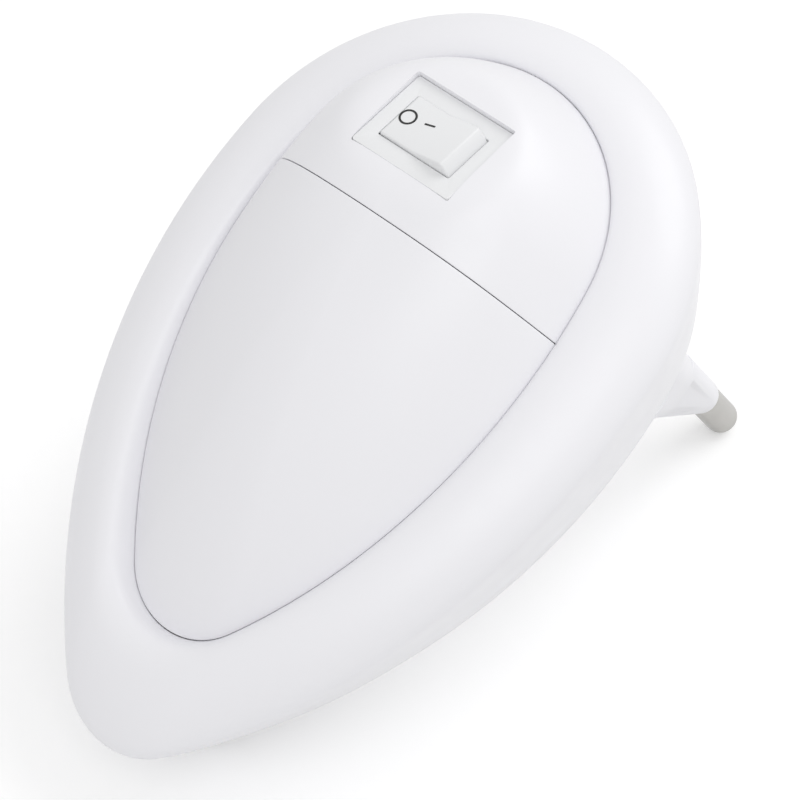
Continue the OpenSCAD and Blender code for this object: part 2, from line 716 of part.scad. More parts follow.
spring_wire = 0.3;
spring_d = 2;
spring_turns = 5;
spring_z0 = plunger_tip_z + plunger_len + spring_wire / 2 + 0.03;
spring_z1 = 0.6 - spring_wire / 2 - 0.03;
module rocker_spring() color("lightgray") on_rocker() {
  n = spring_turns * 12;
  tube([for (i = [0 : n]) [spring_d / 2 * cos(30 * i) , spring_d / 2 * sin(30 * i),
    mix(spring_z0, spring_z1, i / n)]], spring_wire, 6);
}

module on_lever() in_switch() translate([0, 0, fulcrum_z]) rotate([0, lever_rest, 0]) children();

module contact_lever() color("goldenrod") on_lever()
  translate([-lever_half, -lever_w / 2, lever_under]) cube([2 * lever_half, lever_w, lever_t]);
module moving_contact() color("silver") on_lever()
  translate([contact_x, 0, lever_under - moving_t]) cylinder(h = moving_t, d = contact_d);

pad_t = 0.6;
pad_w = 2;
eye_d = 1.3;
eye_up = 1.8;
fixed_top_z = low_z(lever_under - moving_t, -contact_x + contact_d / 2) - lever_gap;
module fixed_contact() color("silver") in_switch()
  translate([contact_x, 0, floor_z + pad_t]) cylinder(h = fixed_top_z - floor_z - pad_t, d = contact_d);

module blade_at(x, top) {
  difference() {
    translate([x, 0, 0]) block(blade, -housing_depth - blade_len, top);
    translate([x, 0, -housing_depth - blade_len + eye_up]) rotate([0, 90, 0])
      cylinder(h = 3 * blade[0], d = eye_d, center = true);
  }
}
module common_terminal() color("goldenrod") in_switch() {
  blade_at(common_x, fulcrum_z);
  across(common_x, fulcrum_z, -blade[1] / 2, blade[1] / 2, fulcrum_d);
}
module line_terminal() color("goldenrod") in_switch() {
  blade_at(line_x, floor_z + pad_t);
  translate([line_x, 0, 0]) block([pad_w, blade[1]], floor_z, floor_z + pad_t);
}

// ---- light board ----
board_front_y = board_rear_y - board_t;
led_at = [for (x = [-1, 1], z = [-1, 1]) [x * led_pitch[0] / 2, board_z + z * led_pitch[1] / 2]];
led_rim = [0.4, 1];
led_tip_y = -face_depth + 1.4;
led_body = board_front_y - led_tip_y - led_d / 2;
lead_pitch = 2.54;
lead_d = 0.5;
lead_reach = 1.6;
wire_pad_at = [[-3.5, -19], [3.5, -19]];

module circuit_board() color("seagreen") {
  difference() {
    translate([-board[0] / 2, board_front_y, board_z - board[1] / 2]) cube([board[0], board_t, board[1]]);
    for (p = board_screw_at) along_y(p[0], p[1], -60, 0, small_screw_d + 0.3);
    for (p = led_at, s = [-1, 1]) along_y(p[0] + s * lead_pitch / 2, p[1], -60, 0, lead_d + 0.1);
  }
}

module leds() color("white") for (p = led_at) translate([p[0], board_front_y, p[1]]) rotate([90, 0, 0]) {
  cylinder(h = led_rim[1], d = led_d + 2 * led_rim[0]);
  cylinder(h = led_body, d = led_d);
  translate([0, 0, led_body]) intersection() {
    sphere(d = led_d);
    cylinder(h = led_d, d = 2 * led_d);
  }
}

module led_leads() color("silver") for (p = led_at, s = [-1, 1])
  along_y(p[0] + s * lead_pitch / 2, p[1], board_front_y, board_rear_y + lead_reach, lead_d);

film_cap = [13, 6, 8];
module film_capacitor() color("firebrick")
  translate([-film_cap[0] / 2, board_rear_y, board_z - film_cap[2] / 2]) cube(film_cap);

can_d = 6.3;
can_len = 9;
can_z = board_z + film_cap[2] / 2 + can_d / 2 + 0.3;
module smoothing_capacitor() color("dimgray")
  translate([-can_len / 2, board_rear_y + can_d / 2, can_z]) rotate([0, 90, 0])
    cylinder(h = can_len, d = can_d);

bridge = [5.5, 2.6, 4];
bridge_x = -5.9;
lower_row_z = board_z - 9.6;
module bridge_rectifier() color("dimgray")
  translate([bridge_x - bridge[0] / 2, board_rear_y, lower_row_z - bridge[2] / 2]) cube(bridge);

resistor_d = 2.3;
resistor_len = 6.2;
resistor_x = film_cap[0] / 2 + resistor_d / 2 + 0.95;
fuse_x = 6.2;
module resistors() color("tan") for (s = [-1, 1])
  translate([s * resistor_x, board_rear_y + resistor_d / 2, board_z])
  cylinder(h = resistor_len, d = resistor_d, center = true);
module fuse_resistor() color("cadetblue") translate([fuse_x, board_rear_y + resistor_d / 2, lower_row_z])
  rotate([0, 90, 0]) cylinder(h = resistor_len, d = resistor_d, center = true);

// ---- wires: hand-placed routes ----
joint_h = 0.6;
function from_switch(p) = [p[0], switch_y + p[1] * sin(switch_tilt) - p[2] * cos(switch_tilt),
  switch_z + p[1] * cos(switch_tilt) + p[2] * sin(switch_tilt)];
blade_end = -housing_depth - blade_len;
beside_blade = (blade[0] + wire_d) / 2 + 0.05;
cup_y = pin_end + cup_depth - 0.3;
pad_end_y = board_rear_y + joint_h + 0.06;
live_route = [on_pin(-1, cup_y), on_pin(-1, pin_end), on_pin(-1, pin_end - 2), [-10.4, -33.5, -1.6],
  [-8.4, -37.4, -5.6], from_switch([line_x - beside_blade - 0.6, 0, blade_end - 3]),
  from_switch([line_x - beside_blade, 0, blade_end]),
  from_switch([line_x - beside_blade, 0, blade_end + 4])];
switched_route = [from_switch([common_x + beside_blade, 0, blade_end + 4]),
  from_switch([common_x + beside_blade, 0, blade_end]), from_switch([common_x + 1, 0, blade_end - 3]),
  [-1.4, -36, -12.5], [-3.2, -35, -16.6], [-3.5, -35.8, -18.6],
  [wire_pad_at[0][0], pad_end_y, wire_pad_at[0][1]]];
neutral_route = [on_pin(1, cup_y), on_pin(1, pin_end), on_pin(1, pin_end - 2), [10.3, -32.4, -2.4],
  [8.6, -34.6, -7.6], [5.4, -35.2, -13], [3.7, -35.1, -17], [3.5, -36, -18.7],
  [wire_pad_at[1][0], pad_end_y, wire_pad_at[1][1]]];
module live_wire() color("saddlebrown") tube(smooth(live_route), wire_d);
module switched_wire() color("saddlebrown") tube(smooth(switched_route), wire_d);
module neutral_wire() color("royalblue") tube(smooth(neutral_route), wire_d);

module solder_joints() color("silver") {
  for (p = wire_pad_at) along_y(p[0], p[1], board_rear_y, board_rear_y + joint_h, 2.4);
}

front_frame();
upper_cap();
lens();
rear_cover();
plug_insert();
pin_left();
pin_right();
insert_screws();
cover_screws();
switch_housing();
rocker();
rocker_spring();
rocker_plunger();
contact_lever();
moving_contact();
fixed_contact();
common_terminal();
line_terminal();
circuit_board();
board_screws();
leds();
led_leads();
film_capacitor();
smoothing_capacitor();
bridge_rectifier();
resistors();
fuse_resistor();
live_wire();
switched_wire();
neutral_wire();
solder_joints();
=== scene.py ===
import json
from math import asin, atan2, cos, degrees, hypot, pi, radians, sin, sqrt, tan

import bmesh
import bpy
import numpy as np
from mathutils import Matrix, Vector

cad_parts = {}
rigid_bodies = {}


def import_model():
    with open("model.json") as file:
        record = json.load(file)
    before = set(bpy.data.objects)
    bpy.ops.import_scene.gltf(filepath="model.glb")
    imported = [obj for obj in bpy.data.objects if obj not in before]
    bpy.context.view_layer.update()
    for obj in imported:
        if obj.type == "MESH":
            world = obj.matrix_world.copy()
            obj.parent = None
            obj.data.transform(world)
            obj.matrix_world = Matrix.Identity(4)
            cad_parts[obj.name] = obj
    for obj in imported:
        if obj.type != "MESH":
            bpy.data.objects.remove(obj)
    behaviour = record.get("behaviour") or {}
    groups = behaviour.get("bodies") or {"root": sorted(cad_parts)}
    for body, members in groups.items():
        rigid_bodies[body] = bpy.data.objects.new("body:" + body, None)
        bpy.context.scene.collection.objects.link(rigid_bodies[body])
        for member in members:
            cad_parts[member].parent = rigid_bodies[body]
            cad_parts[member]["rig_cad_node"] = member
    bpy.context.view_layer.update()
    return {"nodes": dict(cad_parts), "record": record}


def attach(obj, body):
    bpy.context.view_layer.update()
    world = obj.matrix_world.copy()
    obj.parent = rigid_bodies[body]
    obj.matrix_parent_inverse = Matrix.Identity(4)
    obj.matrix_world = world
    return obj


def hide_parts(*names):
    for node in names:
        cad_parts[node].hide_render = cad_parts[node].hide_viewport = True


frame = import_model()
MM = 0.001  # the sizes below are in millimetres, and Blender's are in metres

# ------------------------------ sizes, in millimetres, as in the part's source
# Only the two gaps that show, SEAM_GAP and DOME_GAP, are finer here, as the photograph's lines are.
# Body and face
BODY_TOP_R, BODY_BOTTOM_R, BODY_DROP, BODY_SIDE_R, BODY_TOP_Z = 29, 10.2, 51, 78, 20.4
FACE_DEPTH, BAND_TOP, BAND_SIDE, BAND_BOTTOM = 50.5, 6.4, 9.1, 12.4
OPENING_BOTTOM_R, OPENING_SIDE_R = 10.4, 67
BEAD_DEPTH, WALL_DEPTH, WALL_TUCK, TUCK_POWER, FACE_CROWN, WALL = 5.6, 17.6, 5.9, 1.1, 3, 2
# Dome, seam and lip; pairs are at the top and at the bottom of the face
DOME_RISE, DOME_POWER, DOME_PEAK_Z, DOME_WALL, DOME_GAP = 12.7, (4.6, 1.9), -4, 1.8, (0.03, 0.1)
SEAM_Z, SEAM_GAP, SEAM_ROUND, ROUND_SHARE = -8.9, 0.1, 0.12, 0.7
LIP_RUN, LIP_SINK, SINK_POWER, LIP_T = (0.5, 1.4), (0.7, 3.5), 2.5, 1.3
FLANGE_T, FLANGE_OUT, FLANGE_PLAY, SEAT = 1.6, 2.2, 0.3, 0.1
# Switch; BEZEL_SINK is how deep its lower and its upper edge lie under the flat
BEZEL_SINK = (0.25, 0.7)
SWITCH_Z, SWITCH_RISE, SWITCH_TILT = 1, 9, 21
BEZEL, BEZEL_T, HOUSING, HOUSING_DEPTH = (13.5, 10.3), 1.2, (12, 8.6), 12
WELL, FLOOR_T, MOUTH_T, MOUTH_PLAY = (10.6, 6.1), 1.2, 0.35, 0.12
POCKET_PLAY, POCKET_FLOOR, POCKET_WALL, CUTOUT_PLAY = 0.1, 1.4, 1.5, 0.2
ROCKER_W, ROCKER_SWING, ROCKER_R, ROCKER_UNDER, PIVOT_Z, CREST_UP = 5.9, 14, 5.1, -1.6, -1.8, 0.4
STUD_D, BARREL_D, BARREL_LEN, BARREL_BORE, BORE_TOP = 1.8, 3.8, 4.4, 2.6, 0.6
# Pins and plug neck; the neck's figures are half width, half height, corner radius and mid height
PIN_PITCH, PIN_TIP_PITCH, PIN_LEN, PIN_D, SLEEVE_LEN, SLEEVE_D = 18.6, 17.5, 19, 4, 9.5, 3.5
CORE_D, PIN_END, PIN_TIP_R, SLEEVE_PLAY = 2.8, -27, 1.6, 0.1
NECK_END, NECK_ROOT, NECK_LEN = np.array((11.7, 4.3, 2.9, -2.1)), np.array((13.4, 6.5, 4.2, -4)), 10
ROOT_LEN, ROOT_R, ROOT_DROP = 9.4, 2.2, 3.9
# Bosses, posts and the cover's tongue
SCREW_AT, CAP_RIB_AT = ((-15.6, -22), (15.6, -22), (0, -52.4)), ((-12, 7), (12, 7))
BOSS_D, BOSS_BACK, RIB_T, PILOT_D, PILOT_DEPTH = 6.4, 2.6, 2, 3, 11.4
POST_D, COUNTERBORE_D, CLEARANCE_D, POST_FOOT_T = 8.8, 6.2, 3.4, 1.9
TONGUE, RIM, BACK_POWER = 2.4, WALL + SEAT, 1.3
# Shares of the cover's round at which it gets a ring, and points on an egg's top, side and bottom arcs
ROUND_STEPS, STEPS = (0, 0.25, 0.5, 0.75, 0.92), (36, 36, 24)

BODY_BOTTOM_Z = BODY_TOP_Z - BODY_TOP_R - BODY_DROP - BODY_BOTTOM_R
OPENING_TOP_R = BODY_TOP_R - BAND_SIDE
OPENING_TOP_Z = BODY_TOP_Z - BAND_TOP
OPENING_BOTTOM_Z = BODY_BOTTOM_Z + BAND_BOTTOM
OPENING_DROP = OPENING_TOP_Z - OPENING_BOTTOM_Z - OPENING_TOP_R - OPENING_BOTTOM_R
MID_Z, HALF_H = (BODY_TOP_Z + BODY_BOTTOM_Z) / 2, (BODY_TOP_Z - BODY_BOTTOM_Z) / 2
REAR_Y = -FACE_DEPTH + BEAD_DEPTH + WALL_DEPTH
BOSS_REAR_Y = REAR_Y - BOSS_BACK
HEAD_SEAT_Y = BOSS_REAR_Y + SEAT + POST_FOOT_T
SWITCH_Y = -FACE_DEPTH - SWITCH_RISE
POCKET = (BEZEL[0] + POCKET_PLAY, BEZEL[1] + POCKET_PLAY)
LEAN = atan2((PIN_PITCH - PIN_TIP_PITCH) / 2, PIN_LEN)


# ------------------------------ outlines and surfaces of the body
def arc(cx, cz, r, a0, a1, n):
    """Points on an arc round (cx, cz), with the angles in degrees from the top; the last one is left out."""
    a = np.radians(a0 + (a1 - a0) * np.arange(n) / n)
    return np.stack([cx + r * np.sin(a), cz + r * np.cos(a)], 1)


def mirrored(half):
    return np.concatenate([half, half[-2:0:-1] * (-1, 1)])


def egg(top_z, r1, r2, drop, rs):
    """An egg of a top arc r1 and a bottom arc r2, drop apart, joined by side arcs rs."""
    cz, a, b = top_z - r1, rs - r1, rs - r2
    zr = (b * b - a * a - drop * drop) / (2 * drop)
    c = sqrt(a * a - zr * zr)
    a1, a2 = degrees(atan2(c, -zr)), degrees(atan2(c, -drop - zr))
    return mirrored(np.concatenate([
        arc(0, cz, r1, 0, a1, STEPS[0]), arc(-c, cz + zr, rs, a1, a2, STEPS[1]),
        arc(0, cz - drop, r2, a2, 180, STEPS[2]), [[0, cz - drop - r2]]]))


def body_egg(inset):
    """The body's outline, moved inward."""
    return egg(BODY_TOP_Z - inset, BODY_TOP_R - inset, BODY_BOTTOM_R - inset, BODY_DROP, BODY_SIDE_R - inset)


def opening_egg(top, bottom):
    """The opening's outline in the face, moved inward by one measure at the top and another at the bottom."""
    return egg(OPENING_TOP_Z - top, OPENING_TOP_R - top, OPENING_BOTTOM_R - bottom, OPENING_DROP,
               OPENING_SIDE_R - (top + bottom) / 2)


def box_outline(figures, inset=0.0):
    """A rounded rectangle from (half width, half height, corner radius, mid height), with an egg's points."""
    w, h, r, mid = figures[0] - inset, figures[1] - inset, max(figures[2] - inset, 0.5), figures[3]
    a, q, b = w - r, pi * r / 2, 2 * (h - r)
    total, points = 2 * a + 2 * q + b, []
    for s in np.linspace(0, total, sum(STEPS) + 1):
        if s < a:
            p = (s, h)
        elif s < a + q:
            p = (a + r * sin((s - a) / r), h - r + r * cos((s - a) / r))
        elif s < a + q + b:
            p = (w, h - r - (s - a - q))
        elif s < a + 2 * q + b:
            p = (a + r * cos((s - a - q - b) / r), r - h - r * sin((s - a - q - b) / r))
        else:
            p = (total - s, -h)
        points.append((p[0], p[1] + mid))
    return mirrored(np.array(points))


def mix(a, b, k):
    return a + (b - a) * k


def crest_y(z):
    """How far forward the bead's crest lies at a height."""
    return -FACE_DEPTH + FACE_CROWN * ((z - MID_Z) / HALF_H) ** 2


def lip_y(z):
    """How far forward the frame's lip lies at a height; it sinks below the crest toward the bottom."""
    down = np.clip((OPENING_TOP_Z - z) / (OPENING_TOP_Z - OPENING_BOTTOM_Z), 0, 1)
    return crest_y(z) + mix(LIP_SINK[0], LIP_SINK[1], down ** SINK_POWER)


def ring(outline, y):
    return np.stack([outline[:, 0], np.broadcast_to(y, len(outline)), outline[:, 1]], 1)


def at_crest(outline, depth):
    return ring(outline, crest_y(outline[:, 1]) + depth)


def at_lip(outline, depth):
    return ring(outline, lip_y(outline[:, 1]) + depth)


def tucked(k, inside=0.0):
    """The side wall's outline at a share of its depth."""
    return body_egg(WALL_TUCK * k ** TUCK_POWER + inside)


def flat_y(z):
    """The tilted flat round the switch."""
    lean = degrees(atan2(BEZEL_SINK[1] - BEZEL_SINK[0], BEZEL[1]))
    return SWITCH_Y - sum(BEZEL_SINK) / 2 + (z - SWITCH_Z) * tan(radians(SWITCH_TILT - lean))


def dome_y(outline, r):
    """The dome at a share r of its outline, blended into the flat."""
    x, z = outline[:, 0], outline[:, 1] - DOME_PEAK_Z
    up = z / np.maximum(np.hypot(x, z), 1e-9)
    y = lip_y(outline[:, 1]) - DOME_RISE * (1 - r ** mix(DOME_POWER[0], DOME_POWER[1], (1 - up) / 2))
    flat = flat_y(outline[:, 1])
    return np.maximum(y, flat) + np.maximum(1 - np.abs(y - flat), 0) ** 2 / 4


def dome_ring(outline, r, depth):
    p = np.stack([outline[:, 0] * r, DOME_PEAK_Z + (outline[:, 1] - DOME_PEAK_Z) * r], 1)
    return ring(p, dome_y(p, r) + depth)


def dome_tip(depth):
    return np.array([0, dome_y(np.array([[0, DOME_PEAK_Z + 0.01]]), 0)[0] + depth, DOME_PEAK_Z])


# ------------------------------ mesh helpers
def new_object(name, mesh):
    obj = bpy.data.objects.new(name, mesh)
    bpy.context.scene.collection.objects.link(obj)
    return obj


def solid(name, points, faces):
    """A closed mesh from points in millimetres, with its normals outward."""
    mesh = bpy.data.meshes.new(name)
    mesh.from_pydata([tuple(float(v) * MM for v in p) for p in points], [], faces)
    bm = bmesh.new()
    bm.from_mesh(mesh)
    bmesh.ops.remove_doubles(bm, verts=bm.verts, dist=1e-7)
    bmesh.ops.recalc_face_normals(bm, faces=bm.faces)
    bm.to_mesh(mesh)
    bm.free()
    return new_object(name, mesh)


def skin(name, rings, first=None, last=None):
    """A closed skin through rings of points: a loop, or with its ends closed by fans to first and last."""
    n, m, loop = len(rings[0]), len(rings), first is None
    points = np.concatenate(rings)
    faces = [(j * n + i, j * n + (i + 1) % n, ((j + 1) % m) * n + (i + 1) % n, ((j + 1) % m) * n + i)
             for j in range(m if loop else m - 1) for i in range(n)]
    if not loop:
        points = np.concatenate([points, [first, last]])
        faces += [(m * n, (i + 1) % n, i) for i in range(n)]
        faces += [((m - 1) * n + i, (m - 1) * n + (i + 1) % n, m * n + 1) for i in range(n)]
    return solid(name, points, faces)


def prism(name, outline, z0, z1, place=Matrix.Identity(4)):
    """A flat outline (x, y) swept from z0 to z1 and then placed."""
    n = len(outline)
    points = [place @ Vector((x, y, z)) for z in (z0, z1) for x, y in outline]
    faces = [tuple(range(n))[::-1], tuple(range(n, 2 * n))]
    faces += [(i, (i + 1) % n, n + (i + 1) % n, n + i) for i in range(n)]
    return solid(name, points, faces)


def hull(name, points):
    """The convex hull of points in millimetres."""
    mesh = bpy.data.meshes.new(name)
    mesh.from_pydata([tuple(float(v) * MM for v in p) for p in points], [], [])
    bm = bmesh.new()
    bm.from_mesh(mesh)
    made = bmesh.ops.convex_hull(bm, input=bm.verts[:])
    bmesh.ops.delete(bm, geom=list(set(made["geom_interior"] + made["geom_unused"])), context="VERTS")
    bmesh.ops.recalc_face_normals(bm, faces=bm.faces)
    bm.to_mesh(mesh)
    bm.free()
    return new_object(name, mesh)


def round_rect(w, h, r=0.0, n=6):
    """A rectangle round the origin, with rounded corners if r is given."""
    if r <= 0:
        return [(-w / 2, -h / 2), (w / 2, -h / 2), (w / 2, h / 2), (-w / 2, h / 2)]
    out = []
    for cx, cy, a0 in ((1, -1, -90), (1, 1, 0), (-1, 1, 90), (-1, -1, 180)):
        out += [(cx * (w / 2 - r) + r * cos(radians(a0 + 90 * i / n)),
                 cy * (h / 2 - r) + r * sin(radians(a0 + 90 * i / n))) for i in range(n + 1)]
    return out


def circle(r, n=48):
    return [(r * cos(2 * pi * i / n), r * sin(2 * pi * i / n)) for i in range(n)]


def lathe(name, profile, place, n=64):
    """A profile of (radius, height) turned round Z and then placed; it starts and ends on the axis."""
    rings = [[place @ Vector((r * cos(2 * pi * i / n), r * sin(2 * pi * i / n), z)) for i in range(n)]
             for r, z in profile[1:-1]]
    return skin(name, [np.array(r) for r in rings], np.array(place @ Vector((0, 0, profile[0][1]))),
                np.array(place @ Vector((0, 0, profile[-1][1]))))


def along_y(x, z):
    """Stands a prism or lathe at (x, z), with its Z along Y."""
    return Matrix.Translation((x, 0, z)) @ Matrix.Rotation(radians(-90), 4, "X")


def rod(name, x, z, y0, y1, d, n=48):
    return prism(name, circle(d / 2, n), y0, y1, along_y(x, z))


def cylinder(name, d, z0, z1, place, n=48):
    return prism(name, circle(d / 2, n), z0, z1, place)


def apply_modifiers(obj):
    """Turns the object's modifiers into its mesh."""
    graph = bpy.context.evaluated_depsgraph_get()
    mesh = bpy.data.meshes.new_from_object(obj.evaluated_get(graph))
    old = obj.data
    obj.modifiers.clear()
    obj.data = mesh
    bpy.data.meshes.remove(old)


def boolean(obj, how, *tools):
    """Unites, cuts or clips the object with each tool in turn, and removes the tools."""
    for tool in tools:
        m = obj.modifiers.new("cut", "BOOLEAN")
        m.operation, m.object, m.solver = how, tool, "EXACT"
        apply_modifiers(obj)
        bpy.data.objects.remove(tool)
    return obj


def finished(obj, body, slot, *nodes, edge=0.0, angle=38, segments=2):
    """Rounds the edges if asked to, shades the rest smooth, and puts the piece in its CAD nodes' place."""
    bm = bmesh.new()
    bm.from_mesh(obj.data)
    bmesh.ops.remove_doubles(bm, verts=bm.verts, dist=2e-6)
    bmesh.ops.dissolve_degenerate(bm, edges=bm.edges, dist=1e-6)
    bm.to_mesh(obj.data)
    bm.free()
    if edge:
        m = obj.modifiers.new("edges", "BEVEL")
        m.width, m.segments, m.limit_method, m.angle_limit = edge * MM, segments, "ANGLE", radians(angle)
        m.use_clamp_overlap = True
        m.miter_outer = "MITER_ARC"
        apply_modifiers(obj)
    obj.data.shade_smooth()
    obj.data.set_sharp_from_angle(angle=radians(angle))
    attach(obj, body)
    obj["finish"] = slot
    if nodes:
        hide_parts(*nodes)
    return obj


def at_pin(side):
    """The leaning axis of a pin: Z runs along the pin into the outlet."""
    return (Matrix.Translation((side * PIN_PITCH / 2, 0, 0)) @ Matrix.Rotation(side * LEAN, 4, "Z")
            @ Matrix.Rotation(radians(-90), 4, "X"))


# The switch's frame lies on the bezel's face with Z outward, and the rocker's on its pivot
SWITCH = (Matrix.Translation((0, SWITCH_Y, SWITCH_Z))
          @ Matrix.Rotation(radians(90 - SWITCH_TILT), 4, "X"))
ROCKER = SWITCH @ Matrix.Translation((0, 0, PIVOT_Z)) @ Matrix.Rotation(radians(-ROCKER_SWING / 2), 4, "Y")


# ------------------------------ front frame
def frame_wall():
    """The bead, the side wall and the lip, as one closed loop of rings."""
    crest, widest = opening_egg(0, 0), body_egg(0)
    lip = opening_egg(*LIP_RUN)
    room = FLANGE_OUT + FLANGE_PLAY
    edge, crest_start, bead_start = 0.12, 0.55, 15  # the last two: where the crest's rounding begins and ends

    def bead(a):
        return at_crest(mix(crest, widest, sin(radians(a))), BEAD_DEPTH * (1 - cos(radians(a))))

    # Over the crest, down the outside, round the rear edge, up the inside and along the lip back to the crest
    top = at_crest(crest, 0)
    start, end = mix(top, at_lip(lip, 0), crest_start), bead(bead_start)
    rings = [(1 - t) ** 2 * start + 2 * t * (1 - t) * top + t * t * end for t in np.linspace(0, 1, 7)]
    rings += [bead(a) for a in np.linspace(bead_start, 90, 19)[1:]]
    rings += [at_crest(tucked(k), BEAD_DEPTH + WALL_DEPTH * k) for k in (0.12, 0.25, 0.4, 0.55, 0.7, 0.85)]
    rings += [ring(body_egg(WALL_TUCK - 0.01), REAR_Y - edge), ring(body_egg(WALL_TUCK + edge), REAR_Y)]
    rings += [ring(body_egg(WALL_TUCK + WALL), REAR_Y)]
    rings += [at_crest(tucked(k, WALL), BEAD_DEPTH + WALL_DEPTH * k) for k in (0.7, 0.35)]
    rings += [at_crest(body_egg(WALL), BEAD_DEPTH + WALL * 0.3),
              at_crest(mix(crest, widest, 0.55), BEAD_DEPTH * 0.25 + WALL),
              at_lip(opening_egg(LIP_RUN[0] - room, LIP_RUN[1] - room), LIP_T), at_lip(lip, LIP_T),
              at_lip(lip, 0.1), mix(at_lip(lip, 0), top, 0.04)]
    return skin("front_frame_shell", rings)


def nearest_wall(x, z):
    """The wall nearest to a place on the face: the way to it, its radius, and how far out the place lies."""
    top_z = BODY_TOP_Z - BODY_TOP_R
    if x == 0:
        return -pi / 2, BODY_BOTTOM_R, top_z - BODY_DROP - z
    centre, radius = (0, top_z), BODY_TOP_R
    if z <= top_z:
        to_top, to_bottom = BODY_SIDE_R - BODY_TOP_R, BODY_SIDE_R - BODY_BOTTOM_R
        rise = (to_bottom ** 2 - to_top ** 2 - BODY_DROP ** 2) / (2 * BODY_DROP)
        centre, radius = (-sqrt(to_top ** 2 - rise ** 2) * np.sign(x), top_z + rise), BODY_SIDE_R
    return atan2(z - centre[1], x - centre[0]), radius, hypot(x - centre[0], z - centre[1])


def boss_front_y(z):
    """Where the bosses begin behind the flange at a height."""
    return max(lip_y(z - BOSS_D / 2), lip_y(z + BOSS_D / 2)) + LIP_T + 2 * SEAT + FLANGE_T


def rib(x, z):
    """A flat rib from a boss to the middle of the wall, which leans inward toward the rear."""
    way, radius, start = nearest_wall(x, z)
    front, back = boss_front_y(z) + 1, BOSS_REAR_Y - 0.4
    ys = np.linspace(front, back, 6)
    depths = np.maximum((ys - crest_y(z) - BEAD_DEPTH) / WALL_DEPTH, 0)
    reach = radius - WALL / 2 - WALL_TUCK * depths ** TUCK_POWER - start
    outline = [(0, front), (0, back)] + list(zip(reach[::-1], ys[::-1]))
    place = Matrix.Translation((x, 0, z)) @ Matrix.Rotation(-way, 4, "Y")
    return prism("rib", outline, -RIB_T / 2, RIB_T / 2, place)


shell = frame_wall()
for x, z in SCREW_AT + CAP_RIB_AT:
    boolean(shell, "UNION", rod("boss", x, z, boss_front_y(z), BOSS_REAR_Y, BOSS_D), rib(x, z))
for x, z in SCREW_AT:
    boolean(shell, "DIFFERENCE", rod("hole", x, z, BOSS_REAR_Y - PILOT_DEPTH, BOSS_REAR_Y + 1, PILOT_D, 32))
finished(shell, "base", "white_shell", "front_frame")


# ------------------------------ cap and lens
def dome(name, depth=0.0, whole=False):
    """The dome with its flange as one closed skin, or whole: the filled dome, depth under its outside."""
    run = (LIP_RUN[0] + DOME_GAP[0], LIP_RUN[1] + DOME_GAP[1])
    edge = opening_egg(*run)
    shares = np.concatenate([np.linspace(0.03, 0.75, 22), np.linspace(0.75, 0.97, 14)[1:],
                             [0.982, 0.99, 0.996, 1]])
    rings = [dome_ring(edge, r, depth) for r in shares]
    if whole:
        return skin(name, rings + [at_lip(edge, LIP_T)], dome_tip(depth),
                    np.array((0, lip_y(DOME_PEAK_Z) + LIP_T, DOME_PEAK_Z)))
    inner = opening_egg(run[0] + DOME_WALL, run[1] + DOME_WALL)
    flange = opening_egg(LIP_RUN[0] - FLANGE_OUT, LIP_RUN[1] - FLANGE_OUT)
    front, rear = LIP_T + SEAT, LIP_T + SEAT + FLANGE_T
    rings += [at_lip(edge, front), at_lip(flange, front), at_lip(flange, rear), at_lip(inner, rear)]
    rings += [dome_ring(inner, r, DOME_WALL) for r in shares[::-1]]
    return skin(name, rings, dome_tip(0), dome_tip(DOME_WALL))


def keep_above(obj, z, above):
    """Cuts the dome at a height, keeps one side and rounds its outer edge by ROUND_SHARE of a quarter round."""
    bm = bmesh.new()
    bm.from_mesh(obj.data)
    way = 1 if above else -1

    def cut_at(height, clear):
        return bmesh.ops.bisect_plane(
            bm, geom=bm.verts[:] + bm.edges[:] + bm.faces[:], dist=1e-8, plane_co=(0, 0, height * MM),
            plane_no=(0, 0, 1), clear_outer=clear and not above, clear_inner=clear and above)["geom_cut"]

    for share in (0, 0.15, 0.4, 0.7, 1):
        cut_at(z + way * share * SEAM_ROUND, False)
    bm.normal_update()
    for v in bm.verts:
        k = 1 - way * (v.co.z / MM - z) / SEAM_ROUND
        if 0 < k < 1.001 and v.normal.y < -0.15:
            v.co -= v.normal * SEAM_ROUND * MM * (1 - sqrt(max(1 - k * k, 0))) * ROUND_SHARE
    edges = [e for e in cut_at(z, True) if isinstance(e, bmesh.types.BMEdge)]
    bmesh.ops.edgenet_fill(bm, edges=edges)
    bmesh.ops.recalc_face_normals(bm, faces=bm.faces)
    bm.to_mesh(obj.data)
    bm.free()
    return obj


def switch_block(name, size, z0, z1, r=0.0):
    """A block in the switch's frame."""
    return prism(name, round_rect(size[0], size[1], r), z0, z1, SWITCH)


cap = keep_above(dome("upper_cap_shell"), SEAM_Z + SEAM_GAP / 2, True)
block = boolean(dome("pocket_block", 0.6, True), "INTERSECT",
                switch_block("block", [w + 2 * POCKET_WALL for w in POCKET], -BEZEL_T - POCKET_FLOOR, 8))
boolean(cap, "UNION", block)
boolean(cap, "DIFFERENCE", switch_block("pocket", POCKET, -BEZEL_T, 20, 0.25),
        switch_block("cutout", [w + CUTOUT_PLAY for w in HOUSING], -20, 1))
finished(cap, "base", "white_shell", "upper_cap")
lens = keep_above(dome("lens_shell"), SEAM_Z - SEAM_GAP / 2, False)
finished(lens, "base", "milky_lens", "lens")


# ------------------------------ rear cover with the plug neck
def cover_ring(a, inset, back):
    """A ring of the cover between the body's outline (a = 0) and the neck's (a = 1)."""
    outline = mix(body_egg(WALL_TUCK + inset), box_outline(NECK_ROOT, inset), 1 - (1 - a) ** BACK_POWER)
    return ring(outline, mix(REAR_Y, -NECK_LEN, a) - back * a)


